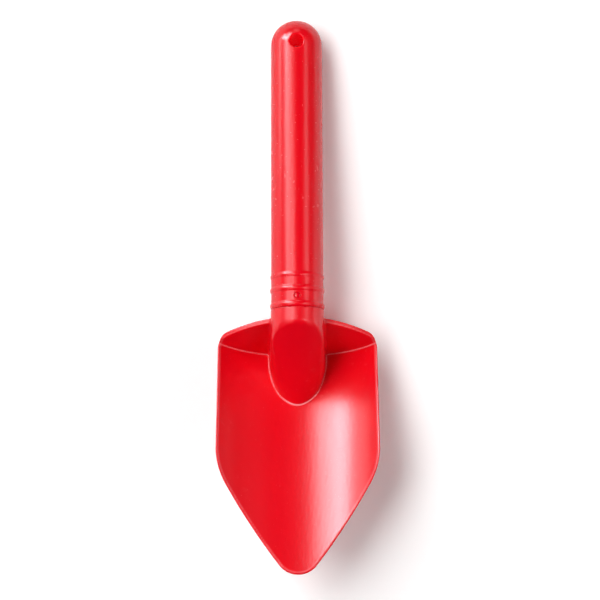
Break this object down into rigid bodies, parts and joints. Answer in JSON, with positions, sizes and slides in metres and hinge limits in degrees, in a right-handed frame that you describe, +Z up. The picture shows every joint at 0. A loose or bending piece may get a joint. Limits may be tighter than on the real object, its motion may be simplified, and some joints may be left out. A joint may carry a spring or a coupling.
{
  "type": "sand shovel",
  "caption": "Child's one-hand sand shovel with a pitched, trough-shaped pointed pan, a rear wall, a sloping neck and a round handle with ring beads and a hanging hole.",
  "frame": {"origin": "on the table, under the middle of the box round the shovel, which lies on the round end of its handle and the heel of its pan with the hollow up", "axes": "+Y from the tip of the pan to the round end of the handle, +Z up, +X across the pan"},
  "size_m": [0.0728, 0.247, 0.0465],
  "materials": {
    "red_plastic_scoop": "satin",
    "red_plastic_handle": "satin",
    "red_plastic_pin": "satin"
  },
  "bodies": {
    "root": {"scoop": "red_plastic_scoop", "handle": "red_plastic_handle", "lock_pin": "red_plastic_pin"}
  },
  "joints": []
}
